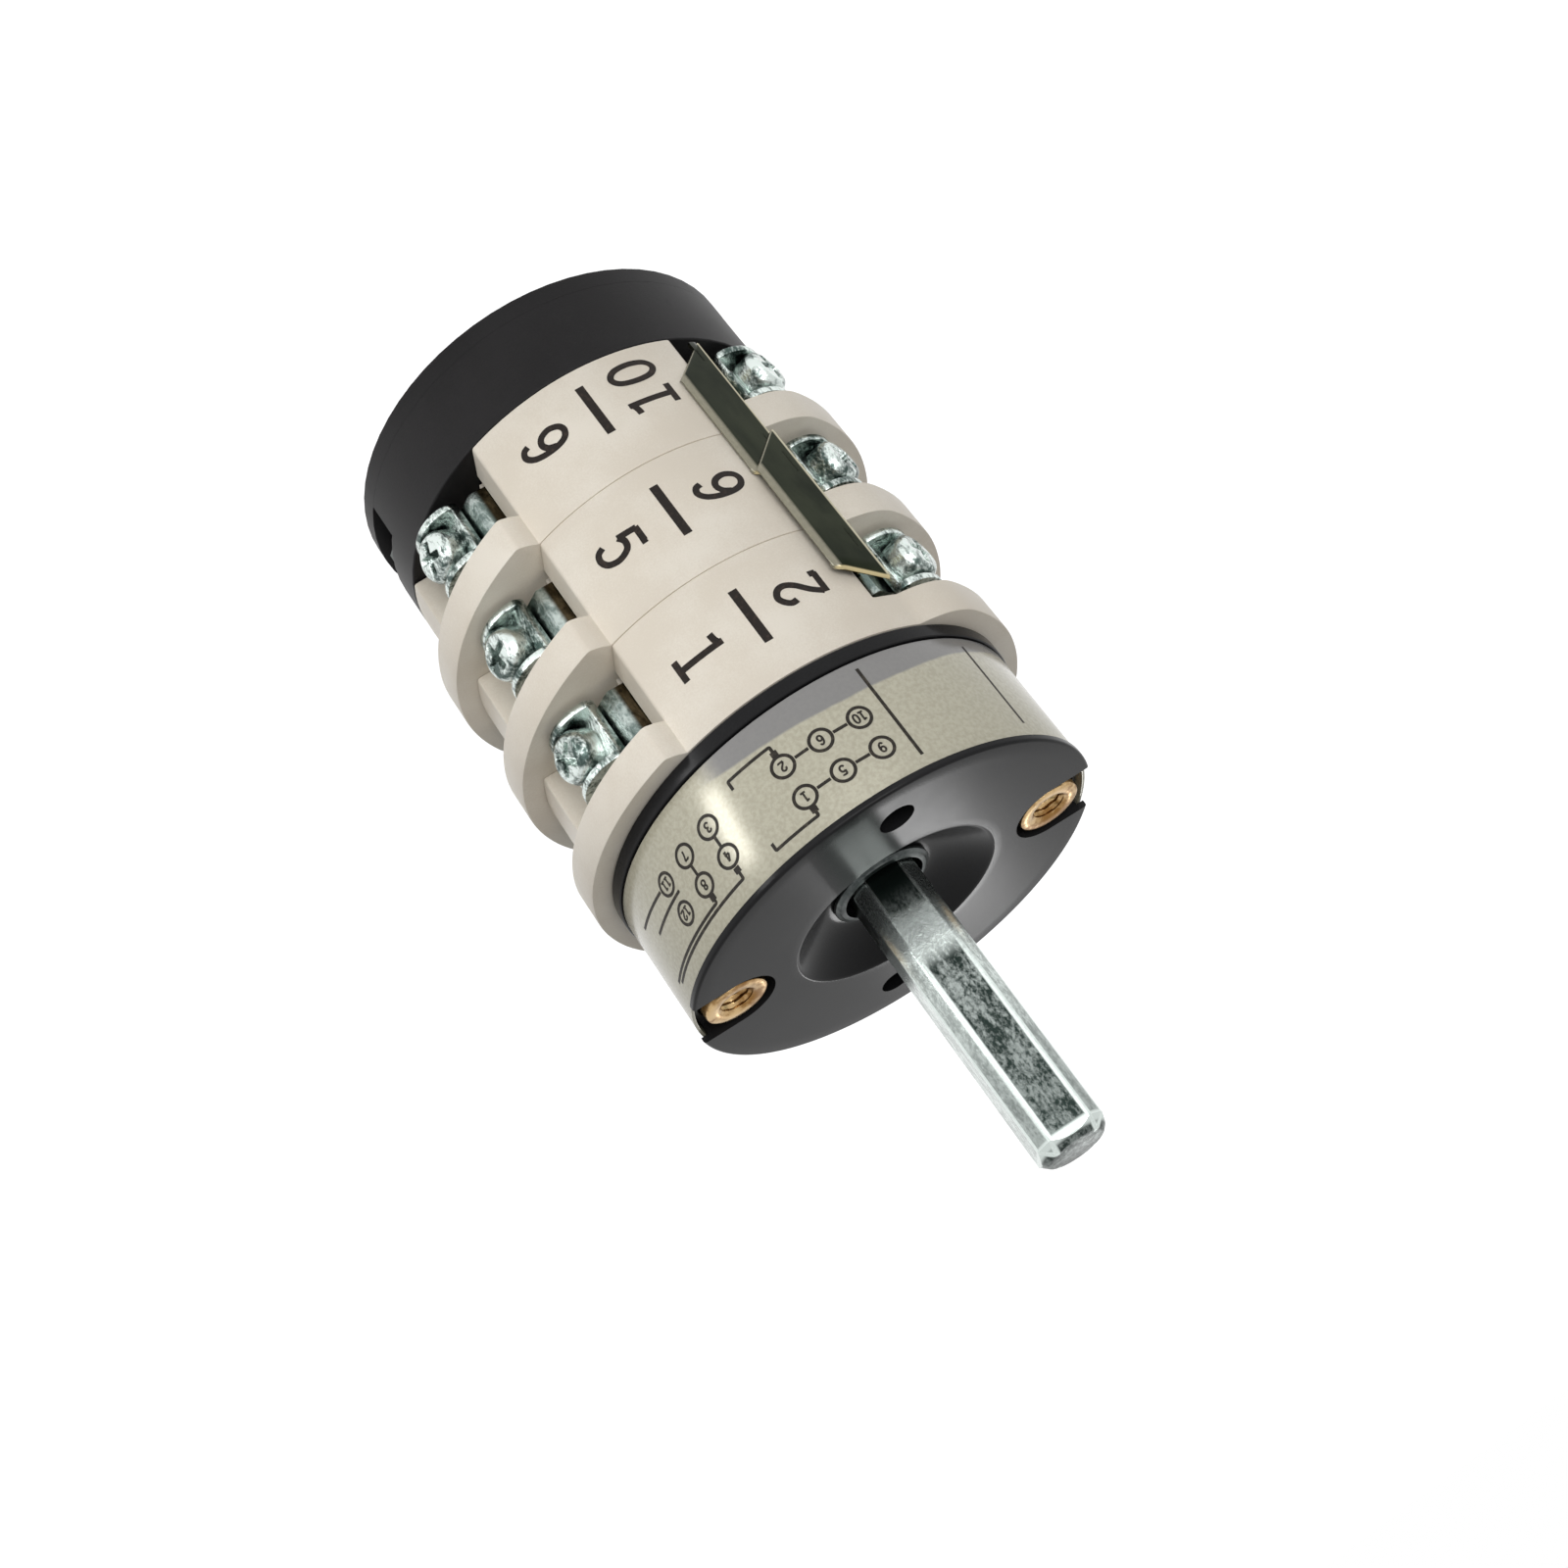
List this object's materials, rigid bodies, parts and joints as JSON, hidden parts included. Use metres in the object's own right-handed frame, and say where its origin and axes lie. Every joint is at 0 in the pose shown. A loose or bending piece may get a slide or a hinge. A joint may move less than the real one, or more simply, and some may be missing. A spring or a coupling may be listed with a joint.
{
  "type": "rotary cam switch",
  "caption": "Spring-return rotary cam switch with a square drive shaft, stacked contact stages, screw terminals, a labelled head and a rear drum.",
  "frame": {"origin": "centre of the bounding box on the rear cover's outer face", "axes": "+Z along the shaft towards its tip, -Y towards the number blocks with 1, 5 and 9, +X towards one of the two brass inserts"},
  "size_m": [0.0498, 0.0456, 0.098],
  "materials": {
    "cream_plastic": "satin moulded",
    "black_plastic": "satin moulded",
    "zinc_plated_steel": "mottled zinc plating",
    "bright_zinc": "bright zinc plating",
    "brass": "machined",
    "tinned_copper": "tin plated",
    "silvered_contact": "silver plated",
    "nickel_strip": "bright nickel plated",
    "label_foil": "printed gloss film",
    "natural_plastic": "plain moulded",
    "grey_plastic": "plain moulded",
    "spring_steel": "bright strip"
  },
  "bodies": {
    "housing": {"stage_body_1": "cream_plastic", "stage_body_2": "cream_plastic", "stage_body_3": "cream_plastic", "head": "black_plastic", "label_band": "label_foil", "guide_washer": "zinc_plated_steel", "rear_drum": "black_plastic", "rear_cover": "black_plastic", "brass_insert_1": "brass", "brass_insert_2": "brass", "tie_bolt_1": "bright_zinc", "tie_bolt_2": "bright_zinc", "return_spring": "spring_steel", "terminal_1": "tinned_copper", "terminal_2": "tinned_copper", "terminal_3": "tinned_copper", "terminal_4": "tinned_copper", "terminal_5": "tinned_copper", "terminal_6": "tinned_copper", "terminal_7": "tinned_copper", "terminal_8": "tinned_copper", "terminal_9": "tinned_copper", "terminal_10": "tinned_copper", "terminal_11": "tinned_copper", "terminal_12": "tinned_copper", "terminal_screw_1": "bright_zinc", "terminal_screw_2": "bright_zinc", "terminal_screw_3": "bright_zinc", "terminal_screw_4": "bright_zinc", "terminal_screw_5": "bright_zinc", "terminal_screw_6": "bright_zinc", "terminal_screw_7": "bright_zinc", "terminal_screw_8": "bright_zinc", "terminal_screw_9": "bright_zinc", "terminal_screw_10": "bright_zinc", "terminal_screw_11": "bright_zinc", "terminal_screw_12": "bright_zinc", "link_a1": "nickel_strip", "link_a2": "nickel_strip", "link_b1": "nickel_strip", "link_b2": "nickel_strip"},
    "rotor": {"square_shaft": "zinc_plated_steel", "cam_1": "natural_plastic", "cam_2": "natural_plastic", "cam_3": "natural_plastic", "stop_disc": "natural_plastic", "return_hub": "natural_plastic"},
    "contact_carrier_1": {"contact_bridge_1": "silvered_contact", "plunger_1": "grey_plastic"},
    "contact_carrier_2": {"contact_bridge_2": "silvered_contact", "plunger_2": "grey_plastic"},
    "contact_carrier_3": {"contact_bridge_3": "silvered_contact", "plunger_3": "grey_plastic"},
    "contact_carrier_4": {"contact_bridge_4": "silvered_contact", "plunger_4": "grey_plastic"},
    "contact_carrier_5": {"contact_bridge_5": "silvered_contact", "plunger_5": "grey_plastic"},
    "contact_carrier_6": {"contact_bridge_6": "silvered_contact", "plunger_6": "grey_plastic"}
  },
  "joints": [
    {"name": "shaft_turn", "type": "hinge", "parent": "housing", "child": "rotor", "pos_m": [0, 0, 0.0686], "axis": [0, 0, 1], "range_deg": [-60, 60], "stiffness_Nm_per_rad": 0.15},
    {"name": "contact_slide_1", "type": "slide", "parent": "housing", "child": "contact_carrier_1", "axis": [0, -1, 0], "range_m": [-0.001, 0.001]},
    {"name": "contact_slide_2", "type": "slide", "parent": "housing", "child": "contact_carrier_2", "axis": [0, 1, 0], "range_m": [-0.001, 0.001]},
    {"name": "contact_slide_3", "type": "slide", "parent": "housing", "child": "contact_carrier_3", "axis": [0, -1, 0], "range_m": [-0.001, 0.001]},
    {"name": "contact_slide_4", "type": "slide", "parent": "housing", "child": "contact_carrier_4", "axis": [0, 1, 0], "range_m": [-0.001, 0.001]},
    {"name": "contact_slide_5", "type": "slide", "parent": "housing", "child": "contact_carrier_5", "axis": [0, -1, 0], "range_m": [-0.001, 0.001]},
    {"name": "contact_slide_6", "type": "slide", "parent": "housing", "child": "contact_carrier_6", "axis": [0, 1, 0], "range_m": [-0.001, 0.001]}
  ],
  "couplings": [
    {"joint": "contact_slide_1", "follows": "shaft_turn", "m_per_rad": 0.000954},
    {"joint": "contact_slide_2", "follows": "shaft_turn", "m_per_rad": -0.000954},
    {"joint": "contact_slide_3", "follows": "shaft_turn", "m_per_rad": 0.000954},
    {"joint": "contact_slide_4", "follows": "shaft_turn", "m_per_rad": -0.000954},
    {"joint": "contact_slide_5", "follows": "shaft_turn", "m_per_rad": 0.000954},
    {"joint": "contact_slide_6", "follows": "shaft_turn", "m_per_rad": -0.000954}
  ]
}
